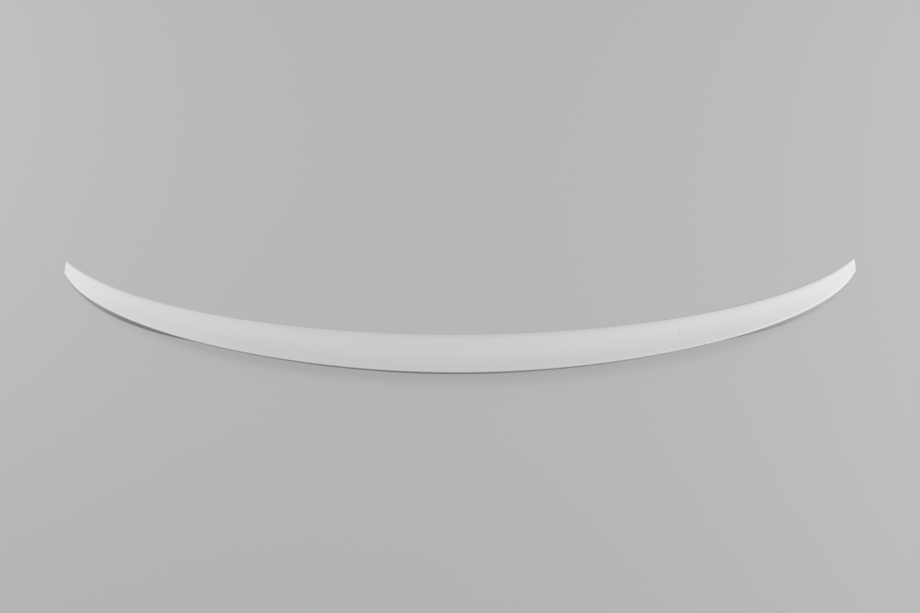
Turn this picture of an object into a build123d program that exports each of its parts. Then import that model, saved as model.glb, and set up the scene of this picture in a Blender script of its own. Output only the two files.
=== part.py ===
from build123d import *
import os
from math import radians, tan

# A boot-lid lip spoiler, moulded in one piece. X runs across the car, Y forward and Z up, in mm.
# The origin is the foot of the rear face on the centreline. Along the span, u is 0 there and 1 at a tip.

# Span and front edge in plan: a gentle bow, a steeper wrap and a last flick at the tips
half_span = 600.0
front_start = 55.7
front_bow = 85.5
front_wrap = 33.1
front_power = 6.4
front_flick = 7.0
flick_power = 24.0

# Lip in plan: the same sweep, ending in a rounded rear corner
lip_bow = 118.0
lip_wrap = 36.0
lip_power = 7.5
corner_round = 14.5
corner_power = 38.0

# How far the lip hangs out behind the foot: undercut along the middle, rolled outward ahead of the tips
overhang_mid = 9.9
overhang_roll = -3.2
overhang_tip = -0.5
roll_start_from_tip = 300.0
roll_peak_from_tip = 65.0

# How late a size changes on its way to the tips: gently all along, or mostly near the end
ease_power = 2.0
fall_power = 4.0

# Lip: height above the foot, and the rounding that leads over it and down its rear face, crisp near the tips
lip_height = 23.0
lip_height_tip = 5.0
lip_lead = 5.0
lip_lead_tip = 6.0
lip_face = 6.0
lip_face_tip = 2.2
lip_back = 3.9
lip_back_tip = 1.2
crisp_lip_from_tip = 180.0

# Front edge and ramp: the underside follows the slope of the lid
lid_slope = 7.0
front_edge_thickness = 1.2
nose_length = 11.6
nose_length_tip = 4.0
nose_height = 4.2
nose_height_tip = 3.0
nose_bulge = 0.6
ramp_sag = 2.4

# Tips: slanted end faces with a rounded front corner, the sharp point trimmed away
tip_skew = 2.5
tip_lean = 38.0
tip_trim = 3.4
tip_corner_radius = 3.0

# Underside: open pockets between cross ribs, inside a front and a rear bonding land
wall = 3.0
rear_land = 6.0
solid_tip = 96.0
bay_count = 14
rib_thickness = 2.2
rib_setback = 1.2

# Stations of the section along one half of the span, and of the pockets along one half of theirs
half_stations = [0.15, 0.30, 0.45, 0.55, 0.63, 0.70, 0.76, 0.82, 0.87, 0.91, 0.94, 0.965, 0.985, 1.0]
pocket_stations = [0.2, 0.4, 0.56, 0.66, 0.75, 1.0]


def along(u, middle, tip, power):
    """A size that changes from its value at the centreline to its value at a tip."""
    return middle + (tip - middle) * u**power


def smooth_step(u, start, end):
    t = min(max((u - start) / (end - start), 0.0), 1.0)
    return t**2 * (3 - 2 * t)


def front_edge(u):
    return front_start + front_bow * u**2 + front_wrap * u**front_power + front_flick * u**flick_power


def lip_edge(u):
    return -overhang_mid + lip_bow * u**2 + lip_wrap * u**lip_power + corner_round * u**corner_power


def overhang(u):
    roll_start = 1 - roll_start_from_tip / half_span
    roll_peak = 1 - roll_peak_from_tip / half_span
    rolled = overhang_mid + (overhang_roll - overhang_mid) * smooth_step(u, roll_start, roll_peak)
    return rolled + (overhang_tip - overhang_roll) * smooth_step(u, roll_peak, 1.0)


def foot_edge(u):
    return lip_edge(u) + overhang(u)


def lid_rise(u, y):
    """Height of the bonding underside at y; the lid's slope dies away toward the tips."""
    return along(u, tan(radians(lid_slope)), 0.0, ease_power) * (y - foot_edge(u))


def ramp_curve(u):
    """Start, middle control and end of the ramp, then the corner of the lip, as vectors in the Y-Z plane."""
    toe = Vector(front_edge(u), lid_rise(u, front_edge(u)))
    crest = Vector(lip_edge(u), along(u, lip_height, lip_height_tip, fall_power))
    nose_y = along(u, nose_length, nose_length_tip, fall_power)
    nose_z = along(u, nose_height, nose_height_tip, ease_power)
    start = toe + Vector(-nose_y, nose_z)
    # a curve with one control point dips by half of that point's own drop
    middle = (start + crest) * 0.5 - Vector(0, 2 * along(u, ramp_sag, 0.0, ease_power))
    end = crest + (middle - crest).normalized() * along(u, lip_lead, lip_lead_tip, ease_power)
    return start, middle, end, crest


def placed(x, point):
    return Vector(x, point.X, point.Y)


def blade_section(station):
    """Closed outline of the blade at one station, from the foot forward and back over the top."""
    u = abs(station)
    x = station * half_span
    start, middle, end, crest = ramp_curve(u)
    foot = Vector(foot_edge(u), 0)
    toe = Vector(front_edge(u), lid_rise(u, front_edge(u)))
    brow = toe + Vector(0, front_edge_thickness)
    slope = (start - middle) * (1 / (start - middle).X)
    bulge = start + slope * (nose_bulge * (toe.X - start.X))
    crisp = smooth_step(u, 0.0, 1 - crisp_lip_from_tip / half_span)
    face = crest - Vector(0, lip_face + (lip_face_tip - lip_face) * crisp)
    back = face + (foot - face).normalized() * (lip_back + (lip_back_tip - lip_back) * crisp)
    at = [placed(x, p) for p in (foot, toe, brow, bulge, start, middle, end, crest, face, back)]
    return Wire([
        Edge.make_line(at[0], at[1]),
        Edge.make_line(at[1], at[2]),
        Edge.make_bezier(at[2], at[3], at[4]),
        Edge.make_bezier(at[4], at[5], at[6]),
        Edge.make_bezier(at[6], at[7], at[8], at[9]),
        Edge.make_line(at[9], at[0]),
    ])


def pocket_section(station):
    """Outline of the hollow under the ramp, open through the underside."""
    u = abs(station)
    x = station * half_span
    start, middle, end, crest = ramp_curve(u)
    down = Vector(0, wall)
    front = Vector(start.X, lid_rise(u, start.X) - wall)
    roof_end = end - down
    rear_y = foot_edge(u) + rear_land
    land_edge = Vector(rear_y, lid_rise(u, rear_y))
    rear = land_edge + (land_edge - roof_end).normalized() * wall
    at = [placed(x, p) for p in (front, start - down, middle - down, roof_end, rear)]
    return Wire([
        Edge.make_line(at[0], at[1]),
        Edge.make_bezier(at[1], at[2], at[3]),
        Edge.make_line(at[3], at[4]),
        Edge.make_line(at[4], at[0]),
    ])


def rib_section(station):
    """Outline above the lower edge of the ribs, which stand clear of the lid."""
    u = abs(station)
    x = station * half_span
    ahead = front_edge(u)
    behind = foot_edge(u) - lip_height
    top = 2 * lip_height
    corners = [
        Vector(behind, lid_rise(u, behind) + rib_setback),
        Vector(ahead, lid_rise(u, ahead) + rib_setback),
        Vector(ahead, top),
        Vector(behind, top),
    ]
    return Wire.make_polygon([placed(x, p) for p in corners], close=True)


def tip_waste():
    """What is trimmed off beyond the right end face: its plan outline, drawn out along the face's lean."""
    rear_y = foot_edge(1.0)
    front_y = front_edge(1.0) - tip_trim
    # the tool reaches as far as the solid end does, well past the blade's edges
    clear = solid_tip
    corner = (half_span - (front_y - rear_y) * tan(radians(tip_skew)), front_y)
    outline = Polyline(
        (half_span + clear * tan(radians(tip_skew)), rear_y - clear),
        corner,
        (half_span - clear, front_y),
        (half_span - clear, front_y + clear),
        (half_span + clear, front_y + clear),
        (half_span + clear, rear_y - clear),
        close=True,
    )
    region = make_face(outline)
    region = fillet(region.vertices().sort_by_distance((*corner, 0))[0], tip_corner_radius)
    return extrude(region, amount=2 * lip_height, dir=(-tan(radians(tip_lean)), 0, 1), both=True)


def both_sides(stations):
    return [-u for u in reversed(stations)] + [0.0] + list(stations)


# Blade: one smooth skin through all the stations, trimmed at both tips
blade = Solid.make_loft([blade_section(s) for s in both_sides(half_stations)])
right_waste = tip_waste()
blade = blade - right_waste - mirror(right_waste, about=Plane.YZ)

# Pockets under the ramp, parted by the cross ribs
pocket_half = half_span - solid_tip
spread = [s * pocket_half / half_span for s in pocket_stations]
hollow = Solid.make_loft([pocket_section(s) for s in both_sides(spread)])
rib_space = Solid.make_loft([rib_section(s) for s in both_sides(spread)])
bay = 2 * pocket_half / bay_count
slabs = [
    Pos((i - bay_count / 2) * bay, front_start, 0) * Box(rib_thickness, half_span, 4 * lip_height)
    for i in range(1, bay_count)
]
ribs = Part() + [slab & rib_space for slab in slabs]
spoiler = blade - (hollow - ribs)

os.makedirs("parts", exist_ok=True)
export_step(spoiler, "parts/spoiler_moulding.step")
print("solids", len(spoiler.solids()), "valid", spoiler.is_valid)
print("volume cm3", round(spoiler.volume / 1000, 1), "box", spoiler.bounding_box())
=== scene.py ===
# %% [markdown]
# # A lip spoiler for a boot lid
# The object is one plastic moulding: a low crescent blade that is bonded along the rear edge of a saloon's
# boot lid. Its top is a ramp that sweeps up to a rounded lip, and its underside is hollow, with cross ribs
# between two bonding lands. The frame holds the exact solid, and this script gives it a fine, even mesh,
# a satin white finish and studio light, all in the frame's own axes: X across the car, Y forward, Z up.

import math

import bmesh
import bpy
from mathutils import Matrix, Vector


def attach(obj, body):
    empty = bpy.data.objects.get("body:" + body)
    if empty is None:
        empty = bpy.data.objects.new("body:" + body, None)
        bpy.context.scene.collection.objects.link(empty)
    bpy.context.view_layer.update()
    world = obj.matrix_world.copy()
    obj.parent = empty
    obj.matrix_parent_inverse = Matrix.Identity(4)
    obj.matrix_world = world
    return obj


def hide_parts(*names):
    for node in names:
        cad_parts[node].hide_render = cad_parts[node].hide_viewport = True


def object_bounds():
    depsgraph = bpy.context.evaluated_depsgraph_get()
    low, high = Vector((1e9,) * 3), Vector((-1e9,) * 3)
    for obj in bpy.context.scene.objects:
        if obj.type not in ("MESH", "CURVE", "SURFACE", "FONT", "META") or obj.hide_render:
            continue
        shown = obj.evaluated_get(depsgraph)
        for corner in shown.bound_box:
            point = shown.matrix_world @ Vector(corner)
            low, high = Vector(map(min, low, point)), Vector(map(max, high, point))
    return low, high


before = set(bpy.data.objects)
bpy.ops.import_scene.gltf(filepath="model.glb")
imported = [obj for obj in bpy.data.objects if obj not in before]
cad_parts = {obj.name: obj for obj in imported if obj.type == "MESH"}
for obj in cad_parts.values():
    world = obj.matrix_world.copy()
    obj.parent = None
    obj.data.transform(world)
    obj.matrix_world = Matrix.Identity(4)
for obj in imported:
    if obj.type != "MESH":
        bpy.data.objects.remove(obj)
cad_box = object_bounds()
print("nodes", sorted(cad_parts), "box", [[round(c, 4) for c in corner] for corner in cad_box])

# %% [markdown]
# ## The curves that drive the blade
# Seen from above, the blade lies between three long curves: the front edge, the lip and the foot of the rear
# face. A drawn spline for each would fit too, but a formula with a gentle bow and a steep wrap at the tips
# gives the same sweep from a few sizes, and stays smooth however finely it is cut. The sizes are in
# millimetres, and u runs from 0 at the centreline to 1 at a tip.

# %% Front edge and lip in plan
MM = 0.001
half_span = 600.0
front_start, front_bow = 55.7, 85.5
front_wrap, front_power = 33.1, 6.4
front_flick, flick_power = 7.0, 24.0
lip_bow = 118.0
lip_wrap, lip_power = 36.0, 7.5
corner_round, corner_power = 14.5, 38.0
overhang_mid, overhang_roll, overhang_tip = 9.9, -3.2, -0.5
roll_start_from_tip, roll_peak_from_tip = 300.0, 65.0


def front_edge(u):
    return front_start + front_bow * u**2 + front_wrap * u**front_power + front_flick * u**flick_power


def lip_edge(u):
    return -overhang_mid + lip_bow * u**2 + lip_wrap * u**lip_power + corner_round * u**corner_power


chord_mid, chord_tip = (front_edge(u) - lip_edge(u) for u in (0.0, 1.0))
print("chord at the centreline", chord_mid, "mm, at a tip", chord_tip, "mm")

# %% [markdown]
# The rear face hangs over its foot along the middle. Ahead of the tips it rolls outward, so that it shows
# from above as a slim grey crescent, and it tucks in again at the very ends. A spline through hand-set points
# could wander between them. Two smooth steps give that roll from three overhangs and two distances.

# %% Foot of the rear face


def smooth_step(u, start, end):
    t = min(max((u - start) / (end - start), 0.0), 1.0)
    return t**2 * (3 - 2 * t)


def overhang(u):
    roll_start = 1 - roll_start_from_tip / half_span
    roll_peak = 1 - roll_peak_from_tip / half_span
    rolled = overhang_mid + (overhang_roll - overhang_mid) * smooth_step(u, roll_start, roll_peak)
    return rolled + (overhang_tip - overhang_roll) * smooth_step(u, roll_peak, 1.0)


def foot_edge(u):
    return lip_edge(u) + overhang(u)


print("foot of a tip lies", round(foot_edge(1.0), 1), "mm ahead of the foot at the centreline")

# %% [markdown]
# ## The section across the blade
# Cut across, the blade has a thin front edge, a rounded nose, a ramp that dips a little before it climbs, a
# rounded lip and a rear face that leads down to the foot. Arcs would need a radius for each bend. Bezier
# curves need only the corners that the curve leans towards, so the ramp can meet the nose and the lip with no
# kink, and the section can change from the middle to the tips without a break.

# %% Corners of the section
ease_power, fall_power = 2.0, 4.0
lip_height, lip_height_tip = 23.0, 5.0
lip_lead, lip_lead_tip = 5.0, 6.0
lip_face, lip_face_tip = 6.0, 2.2
lip_back, lip_back_tip = 3.9, 1.2
crisp_lip_from_tip = 180.0
lid_slope = 7.0
front_edge_thickness = 1.2
nose_length, nose_length_tip = 11.6, 4.0
nose_height, nose_height_tip = 4.2, 3.0
nose_bulge = 0.6
ramp_sag = 2.4
rear_land = 6.0


def along(u, middle, tip, power):
    """A size that changes from its value at the centreline to its value at a tip."""
    return middle + (tip - middle) * u**power


def lid_rise(u, y):
    """Height of the bonding underside, which follows the slope of the lid."""
    return along(u, math.tan(math.radians(lid_slope)), 0.0, ease_power) * (y - foot_edge(u))


def section_corners(u):
    """The points that the section's curves start from, end at or lean towards, as (y, z) in mm."""
    foot_y, toe_y = foot_edge(u), front_edge(u)
    foot = Vector((foot_y, 0.0))
    toe = Vector((toe_y, lid_rise(u, toe_y)))
    nose_y = along(u, nose_length, nose_length_tip, fall_power)
    nose_z = along(u, nose_height, nose_height_tip, ease_power)
    start = toe + Vector((-nose_y, nose_z))
    crest = Vector((lip_edge(u), along(u, lip_height, lip_height_tip, fall_power)))
    middle = (start + crest) / 2 - Vector((0.0, 2 * along(u, ramp_sag, 0.0, ease_power)))
    crisp = smooth_step(u, 0.0, 1 - crisp_lip_from_tip / half_span)
    face = crest - Vector((0.0, lip_face + (lip_face_tip - lip_face) * crisp))
    slope = (start - middle) / (start - middle).x
    return {
        "foot": foot,
        "rear_land": Vector((foot_y + rear_land, lid_rise(u, foot_y + rear_land))),
        "front_land": Vector((start.x, lid_rise(u, start.x))),
        "toe": toe,
        "brow": toe + Vector((0.0, front_edge_thickness)),
        "bulge": start + slope * (nose_bulge * nose_y),
        "start": start,
        "middle": middle,
        "end": crest + (middle - crest).normalized() * along(u, lip_lead, lip_lead_tip, ease_power),
        "crest": crest,
        "face": face,
        "back": face + (foot - face).normalized() * (lip_back + (lip_back_tip - lip_back) * crisp),
    }


def bezier(points, t):
    """A point on a Bezier curve, by blending its control points until one is left."""
    while len(points) > 1:
        points = [a.lerp(b, t) for a, b in zip(points, points[1:])]
    return points[0]


print("lip", lip_height, "mm at the centreline, front edge", round(section_corners(0)["toe"].y, 1), "mm up")

# %% [markdown]
# ## The hollow underside
# Such a moulding is a shell about 3 mm thick. Underneath, ribs cross the hollow every 72 mm, set back a
# little so that only the two lands touch the lid. A boolean cut with boxes would leave ragged faces, so each
# stretch of the span is a bay, a rib or a solid tip instead, and the line between the lands takes that
# stretch's form.

# %% Underside line
wall, rib_setback = 3.0, 1.2
WALL_STEPS, ROOF_STEPS = 2, 10
POCKET_STEPS = 2 * (WALL_STEPS + 1) + ROOF_STEPS


def underside_point(u, kind, step):
    """Point number `step` of the line from the rear land to the front land, for one kind of stretch."""
    at = section_corners(u)
    rear, front = at["rear_land"], at["front_land"]
    if kind == "solid" or step == 0:
        return rear.lerp(front, step / POCKET_STEPS)
    down = Vector((0.0, wall))
    roof_rear, roof_front = at["end"] - down, at["start"] - down
    rear_low = rear.lerp(roof_rear, rib_setback / (roof_rear.y - rear.y))
    front_low = front.lerp(roof_front, min(rib_setback / (roof_front.y - front.y), 1.0))
    inner = step - 1
    last = POCKET_STEPS - 2
    if kind == "rib":
        return rear_low.lerp(front_low, inner / last)
    if inner <= WALL_STEPS:
        return rear_low.lerp(roof_rear, inner / WALL_STEPS)
    if inner < last - WALL_STEPS:
        return bezier([roof_rear, at["middle"] - down, roof_front], (inner - WALL_STEPS) / ROOF_STEPS)
    return roof_front.lerp(front_low, (inner - WALL_STEPS - ROOF_STEPS) / WALL_STEPS)


print("steps under the blade", POCKET_STEPS)

# %% [markdown]
# ## The outline as a ring of points
# Each ring runs once round the section, from the foot along the underside to the front edge, then back over
# the top. Every ring has the same number of points, so neighbouring rings join into four-sided faces. No
# moulded edge is perfectly sharp, so the foot and the front edge are rounded in the ring itself. A bevel
# modifier would do that too, but the short faces at the tips would hold it back.

# %% Ring of points
edge_round = 0.6
stretches = {
    "foot": 4,
    "rear_land": 2,
    "underside": POCKET_STEPS,
    "front_land": 3,
    "edge": 8,
    "nose": 8,
    "ramp": 24,
    "lip": 16,
    "rear": 6,
}
ring = [(name, i / steps) for name, steps in stretches.items() for i in range(steps)]
column = {name: next(k for k, place in enumerate(ring) if place[0] == name) for name in stretches}


def toward(a, b):
    """The point where the rounding of the edge at `a` begins, on the way to `b`."""
    return a + (b - a).normalized() * edge_round


def ring_point(u, kind, place):
    """One point of the ring, as (y, z) in mm."""
    name, t = place
    if name == "underside":
        return underside_point(u, kind, round(t * POCKET_STEPS))
    at = section_corners(u)
    nose = [at["brow"], at["bulge"], at["start"]]
    nose_from = edge_round / (2 * (at["bulge"] - at["brow"]).length)
    if name == "nose":
        return bezier(nose, nose_from + (1 - nose_from) * t)
    toe_round, foot_rear = toward(at["toe"], at["front_land"]), toward(at["foot"], at["back"])
    foot_front = toward(at["foot"], at["rear_land"])
    lean = {
        "foot": [foot_rear, at["foot"], foot_front],
        "rear_land": [foot_front, at["rear_land"]],
        "front_land": [at["front_land"], toe_round],
        "edge": [toe_round, at["toe"], at["brow"], bezier(nose, nose_from)],
        "ramp": [at["start"], at["middle"], at["end"]],
        "lip": [at["end"], at["crest"], at["face"], at["back"]],
        "rear": [at["back"], foot_rear],
    }[name]
    return bezier(lean, t)


print("points in a ring", len(ring))

# %% [markdown]
# ## Slanted end faces
# Each tip ends in a face that leans in at the top, with a rounded corner where it meets the front edge.
# Cutting the mesh with that face would leave slivers along the cut. Here each line along the blade is
# followed out to the point where it meets the face, found by halving the gap again and again.

# %% End face
tip_skew, tip_lean = math.radians(2.5), math.radians(38.0)
tip_trim, tip_corner_radius = 3.4, 3.0
tip_zone = 0.86
halvings = 40
arc_y = front_edge(1.0) - tip_trim - tip_corner_radius


def end_line_x(y):
    return half_span - (y - foot_edge(1.0)) * math.tan(tip_skew)


def end_face_x(point):
    """How far out the end face lies at a point (y, z) of the section, in mm."""
    ahead = point.x - arc_y
    if ahead > tip_corner_radius:
        return 0.0
    x = end_line_x(point.x)
    if ahead > tip_corner_radius * math.sin(tip_skew):
        arc_x = end_line_x(arc_y) - tip_corner_radius / math.cos(tip_skew)
        x = arc_x + math.sqrt(tip_corner_radius**2 - ahead**2)
    return x - point.y * math.tan(tip_lean)


def tip_reach(place):
    """How far along the span, from 0 to 1, a line of the blade meets the end face."""
    inside, outside = tip_zone, 1.0
    for _ in range(halvings):
        u = (inside + outside) / 2
        if u * half_span < end_face_x(ring_point(u, "solid", place)):
            inside = u
        else:
            outside = u
    return inside


reaches = [tip_reach(place) for place in ring]
print("end face leans in by up to", round((1 - min(reaches)) * half_span, 1), "mm")

# %% [markdown]
# The rings are then set up in space. Over most of the span a ring is a flat slice across the blade. Near a
# tip its points are spread out, each in proportion to how far its own line runs, so that the last ring lies
# in the slanted end face and nothing has to be cut.

# %% Rings in space


def ring_at(station, kind, set_back):
    """The ring at a station from -1 to 1, in metres, held `set_back` mm short of the end face at a tip."""
    points = []
    for place, reach in zip(ring, reaches):
        u = abs(station)
        if u > tip_zone:
            reach = reach - set_back / half_span
            u = tip_zone + (u - tip_zone) * (reach - tip_zone) / (1 - tip_zone)
        y, z = ring_point(u, kind, place)
        points.append(Vector((math.copysign(u * half_span, station), y, z)) * MM)
    return points


def inset(points, depth):
    """The same ring drawn in by `depth` mm, square to its outline."""
    drawn = []
    for k, point in enumerate(points):
        run = points[(k + 1) % len(points)] - points[k - 1]
        drawn.append(point + Vector((0.0, -run.z, run.y)).normalized() * depth * MM)
    return drawn


last_ring_x = [point.x / MM for point in ring_at(1.0, "solid", 0.0)]
print("last ring runs from x", round(min(last_ring_x), 1), "to", round(max(last_ring_x), 1), "mm")

# %% [markdown]
# ## Stations along the span
# The span is cut into stretches: a solid tip, then bays and ribs in turn, then the other tip. Evenly spaced
# rings would be wasted on the middle, which hardly bends. So they lie closer together toward the tips, where
# the rear corner turns fastest.

# %% Stations
solid_tip, bay_count, rib_thickness = 96.0, 14, 2.2
BAY_STEPS, TIP_STEPS = 7, 22
tip_crowding = 1.5
pocket_half = half_span - solid_tip
bay = 2 * pocket_half / bay_count

spots, kinds = [-pocket_half], []
for number in range(bay_count):
    left = spots[-1]
    last_bay = number == bay_count - 1
    right = pocket_half if last_bay else (number + 1 - bay_count / 2) * bay - rib_thickness / 2
    spots += [left + (right - left) * (step + 1) / BAY_STEPS for step in range(BAY_STEPS)]
    kinds += ["bay"] * BAY_STEPS
    if not last_bay:
        spots.append(right + rib_thickness)
        kinds.append("rib")

to_go = [1 - step / TIP_STEPS for step in range(1, TIP_STEPS + 1)]
tip_spots = [half_span - solid_tip * share**tip_crowding for share in to_go]
spots = [-x for x in reversed(tip_spots)] + spots + tip_spots
kinds = ["solid"] * TIP_STEPS + kinds + ["solid"] * TIP_STEPS
print("rings", len(spots), "bays", bay_count, "bay width", round(bay, 1), "mm")

# %% [markdown]
# ## Joining the rings
# Neighbouring rings are joined face by face. Where a bay meets a rib or a solid tip the two underside lines
# differ, and the gap between them is the side of the rib, which is filled in the same way. Bridging two loops
# at a time would do for a plain tube, but it has no rule for those sides. Points that fall in the same place
# share one vertex, so the result is a single closed skin.

# %% Skin
end_round = 0.5
microns_per_metre = 1e6
skin = bmesh.new()
found = {}
rows = {}


def vertex_at(point):
    key = tuple(round(c * microns_per_metre) for c in point)
    if key not in found:
        found[key] = skin.verts.new(point)
    return found[key]


def add_face(corners):
    """A face through the given corners, leaving out any that fall together."""
    kept = list(dict.fromkeys(corners))
    if len(kept) > 2 and not skin.faces.get(kept):
        skin.faces.new(kept)


def row(i, kind):
    if (i, kind) not in rows:
        rows[i, kind] = [vertex_at(p) for p in ring_at(spots[i] / half_span, kind, end_round)]
    return rows[i, kind]


def join(near, far):
    for k in range(len(near)):
        after = (k + 1) % len(near)
        add_face([near[k], near[after], far[after], far[k]])


for i, kind in enumerate(kinds):
    join(row(i, kind), row(i + 1, kind))
    if i > 0 and kinds[i - 1] != kind:
        here, other = row(i, kind), row(i, kinds[i - 1])
        for k in range(column["underside"], column["front_land"]):
            add_face([here[k], here[k + 1], other[k + 1], other[k]])
print("faces along the blade", len(skin.faces))

# %% [markdown]
# The end faces are closed last. A few more rings, each set out a little further and drawn in a little more,
# turn the corner from the skin to the end face, and one cap fills what is left. A bevel could round that edge
# afterwards, but it would have to pick the edge out of thousands.

# %% End caps
ROUND_STEPS = 4
for i, side in ((0, -1.0), (len(spots) - 1, 1.0)):
    edge_row = row(i, "solid")
    for step in range(1, ROUND_STEPS + 1):
        turn = math.pi / 2 * step / ROUND_STEPS
        points = ring_at(side, "solid", end_round * (1 - math.sin(turn)))
        next_row = [vertex_at(p) for p in inset(points, end_round * (1 - math.cos(turn)))]
        join(edge_row, next_row)
        edge_row = next_row
    bmesh.ops.triangulate(skin, faces=[skin.faces.new(edge_row)])
bmesh.ops.recalc_face_normals(skin, faces=skin.faces)
open_edges = [e for e in skin.edges if len(e.link_faces) != 2]
print("faces", len(skin.faces), "edges that don't join two faces", len(open_edges))

# %% [markdown]
# ## The skin as an object
# Smooth shading hides the facets. Edges that turn by more than 32 degrees, such as the ribs' sides, stay
# crisp, and weighted normals keep the broad faces flat beside the narrow rounded edges. With flat faces the
# mesh would have to be many times finer to look as smooth.

# %% Object
crisp_angle = math.radians(32.0)
mesh = bpy.data.meshes.new("lip_spoiler")
skin.to_mesh(mesh)
skin.free()
mesh.shade_smooth()
mesh.set_sharp_from_angle(angle=crisp_angle)
spoiler = bpy.data.objects.new("lip_spoiler", mesh)
bpy.context.scene.collection.objects.link(spoiler)
even_shade = spoiler.modifiers.new("even_shade", "WEIGHTED_NORMAL")
even_shade.keep_sharp = True
print("spoiler mesh", len(mesh.vertices), "vertices")

# %% [markdown]
# ## Colours and nodes
# Colours are picked as they look on a screen, as sRGB hex values, while the renderer works with linear light.
# One function does that sum. Another adds a node, sets its inputs and links it, which keeps each material's
# own recipe short enough to read.

# %% Helpers for materials


def hex_colour(code):
    """An sRGB hex value as linear red, green, blue and full alpha."""
    channels = [int(code[i : i + 2], 16) / 255 for i in (0, 2, 4)]
    linear = [c / 12.92 if c <= 0.04045 else ((c + 0.055) / 1.055) ** 2.4 for c in channels]
    return (*linear, 1.0)


def add_node(tree, kind, inputs=None, out=None, **settings):
    """Adds one node and gives its output `out`, or the node itself.

    An input is a value or another node's output. Sockets go by name or, where names repeat, by identifier.
    """
    node = tree.nodes.new(kind)
    for name, value in settings.items():
        setattr(node, name, value)
    for name, value in (inputs or {}).items():
        socket = next(s for s in node.inputs if name in (s.identifier, s.name))
        if isinstance(value, bpy.types.NodeSocket):
            tree.links.new(value, socket)
        else:
            socket.default_value = value
    return next(s for s in node.outputs if out in (s.identifier, s.name)) if out else node


def new_material(name):
    material = bpy.data.materials.new(name)
    material.use_nodes = True
    material.node_tree.nodes.clear()
    return material, material.node_tree


print("a mid grey in linear light", [round(c, 3) for c in hex_colour("808080")])

# %% [markdown]
# ## Satin white ABS
# The blade is moulded in white ABS and left unpainted. The mould was polished and then blasted fine, so the
# skin has a satin sheen with a very fine grain, and the light spreads over it without sharp reflections. The
# tone isn't dead even: it drifts by a percent or two along the blade. A few handling marks are on the top,
# one grey rub to the right of the middle and two faint scuffs near the left tip. Painting them on a picture
# would tie them to one resolution, so each is a soft spot placed by its distance from a point on the blade.

# %% Tone and handling marks
drift_size = 180.0
satin_abs, tree = new_material("satin_white_abs")
where = add_node(tree, "ShaderNodeTexCoord", out="Object")
drift = add_node(
    tree, "ShaderNodeTexNoise", {"Vector": where, "Scale": 1 / (drift_size * MM), "Detail": 3.0}, out="Fac"
)
tone = add_node(
    tree,
    "ShaderNodeMix",
    {"Factor_Float": drift, "A_Color": hex_colour("DEDEDD"), "B_Color": hex_colour("E4E4E3")},
    out="Result_Color",
    data_type="RGBA",
)

# each mark: centre on the blade and half size, in mm, and how strongly it shows
marks = [
    ((327.0, 57.4, 10.4), (2.0, 8.0, 8.0), 0.24),
    ((-553.5, 132.3, 5.7), (5.0, 5.0, 5.0), 0.12),
    ((-541.5, 128.3, 5.6), (8.0, 2.5, 5.0), 0.09),
]
for centre, size, strength in marks:
    offset = add_node(
        tree,
        "ShaderNodeVectorMath",
        {"Vector": where, "Vector_001": [c * MM for c in centre]},
        out="Vector",
        operation="SUBTRACT",
    )
    scaled = add_node(
        tree,
        "ShaderNodeVectorMath",
        {"Vector": offset, "Vector_001": [c * MM for c in size]},
        out="Vector",
        operation="DIVIDE",
    )
    away = add_node(tree, "ShaderNodeVectorMath", {"Vector": scaled}, out="Value", operation="LENGTH")
    fade = add_node(
        tree,
        "ShaderNodeMapRange",
        {"Value": away, "From Min": 0.1, "From Max": 1.0, "To Min": strength, "To Max": 0.0},
        out="Result",
        interpolation_type="SMOOTHSTEP",
    )
    tone = add_node(
        tree,
        "ShaderNodeMix",
        {"Factor_Float": fade, "A_Color": tone, "B_Color": hex_colour("9A9A99")},
        out="Result_Color",
        data_type="RGBA",
    )
print("handling marks", len(marks))

# %% [markdown]
# The grain of a fine-blasted mould is about 0.3 mm across, far below one pixel here, so it is drawn at 2.5 mm
# to leave a trace of it in the sheen. ABS has an IOR of about 1.53, and a roughness of about a third gives
# the satin. The roughness drifts too, as it does where hands have polished a part.

# %% Grain and sheen
grain_size = 2.5
grain = add_node(
    tree, "ShaderNodeTexNoise", {"Vector": where, "Scale": 1 / (grain_size * MM), "Detail": 2.0}, out="Fac"
)
relief = add_node(
    tree, "ShaderNodeBump", {"Height": grain, "Strength": 0.08, "Distance": 0.2 * MM}, out="Normal"
)
sheen = add_node(
    tree,
    "ShaderNodeMapRange",
    {"Value": drift, "From Min": 0.3, "From Max": 0.7, "To Min": 0.30, "To Max": 0.38},
    out="Result",
)
abs_skin = add_node(
    tree,
    "ShaderNodeBsdfPrincipled",
    {"Base Color": tone, "Roughness": sheen, "IOR": 1.53, "Normal": relief},
    out="BSDF",
)
add_node(tree, "ShaderNodeOutputMaterial", {"Surface": abs_skin})
mesh.materials.append(satin_abs)
print("material", satin_abs.name)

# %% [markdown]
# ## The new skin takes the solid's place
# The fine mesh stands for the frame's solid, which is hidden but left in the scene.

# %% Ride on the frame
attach(spoiler, "root")
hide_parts("spoiler_moulding")
print("riding", spoiler.name)

# %% [markdown]
# ## Floor
# The studio floor has matt pale grey paint, with no pattern to draw the eye. By the soft boxes alone it
# would show a bright pool beside each of them, so a part of its brightness is an even glow. The camera and
# reflections see that glow, but it lights nothing, so the blade's rear face stays in shade and its shadow
# stays on the floor.

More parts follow.
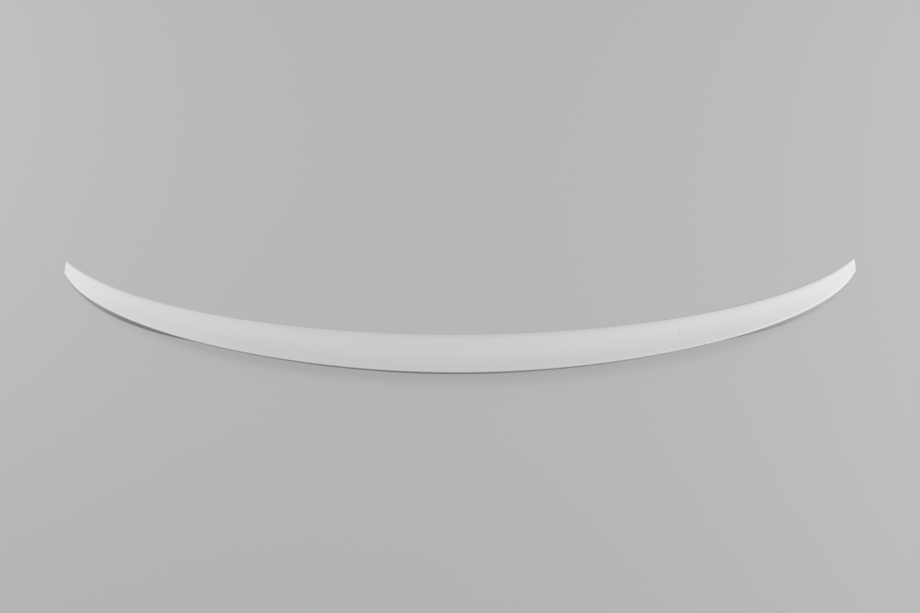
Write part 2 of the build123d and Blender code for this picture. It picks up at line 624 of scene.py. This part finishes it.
# %% Floor
floor_paint, tree = new_material("pale_floor_paint")
ray = add_node(tree, "ShaderNodeLightPath").outputs
seen = add_node(
    tree,
    "ShaderNodeMath",
    {"Value": ray["Is Camera Ray"], "Value_001": ray["Is Glossy Ray"]},
    out="Value",
    operation="ADD",
)
seen = add_node(
    tree,
    "ShaderNodeMath",
    {"Value": seen, "Value_001": ray["Is Transmission Ray"]},
    out="Value",
    operation="ADD",
    use_clamp=True,
)
floor_skin = add_node(
    tree,
    "ShaderNodeBsdfPrincipled",
    {
        "Base Color": hex_colour("626262"),
        "Roughness": 0.9,
        "Emission Color": hex_colour("A4A4A4"),
        "Emission Strength": seen,
    },
    out="BSDF",
)
add_node(tree, "ShaderNodeOutputMaterial", {"Surface": floor_skin})

floor_half, floor_gap = 20.0, 0.3 * MM
floor_z = cad_box[0][2] - floor_gap
floor_mesh = bpy.data.meshes.new("floor")
floor_corners = [(-1, -1), (1, -1), (1, 1), (-1, 1)]
floor_points = [(x * floor_half, y * floor_half, floor_z) for x, y in floor_corners]
floor_mesh.from_pydata(floor_points, [], [(0, 1, 2, 3)])
floor_mesh.materials.append(floor_paint)
floor = bpy.data.objects.new("floor", floor_mesh)
bpy.context.scene.collection.objects.link(floor)
print("floor", 2 * floor_half, "m square")

# %% [markdown]
# ## Studio light
# One wide soft box hangs ahead of the blade and gives the even light on the ramp, while the lip's rear edge
# turns away from it and darkens. Four more boxes stand low beyond the tips. They lift the ends of the blade
# and light the slanted end faces, and the one behind the right end draws the soft bright line along the lip
# there. Small bright lamps would give as much light, but they would show as hard white patches in the sheen,
# so each box is wide.

# %% Lights
middle_of_blade = Vector((0.0, 0.085, 0.01))
left_end, right_end = Vector((-0.45, 0.1, 0.0)), Vector((0.45, 0.1, 0.0))
overhead_width, overhead_depth, end_box = 2.4, 1.2, 0.9
room_glow = 0.056


def soft_box(name, position, width, depth, watts, target):
    """A rectangular area lamp, its place and sides in metres, turned to face `target`."""
    lamp = bpy.data.lights.new(name, "AREA")
    lamp.shape = "RECTANGLE"
    lamp.size, lamp.size_y, lamp.energy = width, depth, watts
    box = bpy.data.objects.new(name, lamp)
    bpy.context.scene.collection.objects.link(box)
    box.location = position
    box.rotation_euler = (target - box.location).to_track_quat("-Z", "Y").to_euler()


soft_box("overhead_box", (0.0, 1.0, 1.9), overhead_width, overhead_depth, 17.4, middle_of_blade)
soft_box("left_low_box", (-1.0, 0.5, 0.5), end_box, end_box, 3.6, left_end)
soft_box("left_side_box", (-1.1, 0.1, 0.45), end_box, end_box, 2.7, left_end)
soft_box("right_low_box", (1.0, 0.5, 0.5), end_box, end_box, 3.3, right_end)
soft_box("right_rear_box", (1.1, -0.25, 0.7), end_box, end_box, 6.6, right_end)

room = bpy.data.worlds.new("studio_room")
room.use_nodes = True
background = room.node_tree.nodes["Background"].inputs
background["Color"].default_value = hex_colour("BFBFBF")
background["Strength"].default_value = room_glow
bpy.context.scene.world = room

# %% [markdown]
# ## Camera
# The view is from behind the car, looking steeply down on the blade with a long lens, so the crescent opens
# away from the viewer and the rear face shows only near the tips, where it rolls outward.

# %% Camera
elevation, roll = math.radians(70.0), math.radians(-0.193)
distance = 2.6815
look_at = Vector((-0.00034, 0.09937, 0.010))

back = Vector((0.0, -math.cos(elevation), math.sin(elevation)))
up = Vector((0.0, math.sin(elevation), math.cos(elevation)))
right = Vector((1.0, 0.0, 0.0))
level_right = math.cos(roll) * right + math.sin(roll) * up
level_up = -math.sin(roll) * right + math.cos(roll) * up
lens = bpy.data.cameras.new("camera")
lens.lens, lens.sensor_width, lens.sensor_fit = 70.0, 36.0, "HORIZONTAL"
camera = bpy.data.objects.new("camera", lens)
bpy.context.scene.collection.objects.link(camera)
camera.matrix_world = Matrix.Translation(look_at + distance * back) @ Matrix(
    (level_right, level_up, back)
).transposed().to_4x4()
bpy.context.scene.camera = camera
bpy.context.scene.view_settings.view_transform = "Standard"
print("camera at", [round(c, 3) for c in camera.matrix_world.translation])
